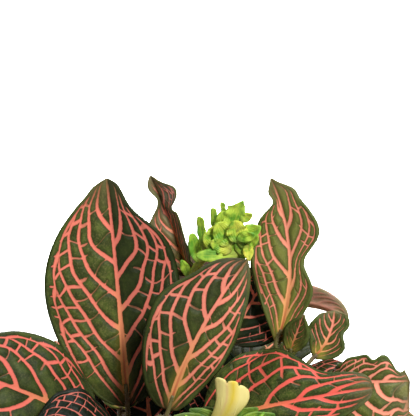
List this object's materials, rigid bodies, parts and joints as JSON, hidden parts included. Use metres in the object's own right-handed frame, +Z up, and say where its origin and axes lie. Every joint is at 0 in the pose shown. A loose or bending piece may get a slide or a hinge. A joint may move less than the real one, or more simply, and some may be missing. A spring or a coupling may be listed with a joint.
{
  "type": "potted nerve plant",
  "caption": "Bushy creeping house plant with net-veined oval leaves, leafy flower spikes and an open flower, standing in soil in a plain round clay pot.",
  "frame": {"origin": "middle of the pot's flat base", "axes": "+Z up along the pot's axis, -Y towards the side that faces the viewer, +X to the viewer's right"},
  "size_m": [0.1903, 0.1783, 0.2046],
  "materials": {
    "clay": "unglazed fired clay",
    "peat": "moist crumbly potting soil",
    "foliage": "satin leaf, dark green with coral-red veins",
    "bracts": "matt lime-green bract",
    "petals": "soft matt cream-yellow petal"
  },
  "bodies": {
    "root": {"pot": "clay", "soil": "peat", "shoot_left": "foliage", "shoot_front": "foliage", "shoot_right": "foliage", "shoot_centre": "foliage", "shoot_back_right": "foliage", "shoot_back": "foliage", "shoot_back_left": "foliage", "shoot_low_left": "foliage", "shoot_low_front": "foliage", "shoot_low_right": "foliage", "flower_spike_tall": "bracts", "flower_spike_low": "bracts", "flower": "petals"}
  },
  "joints": []
}
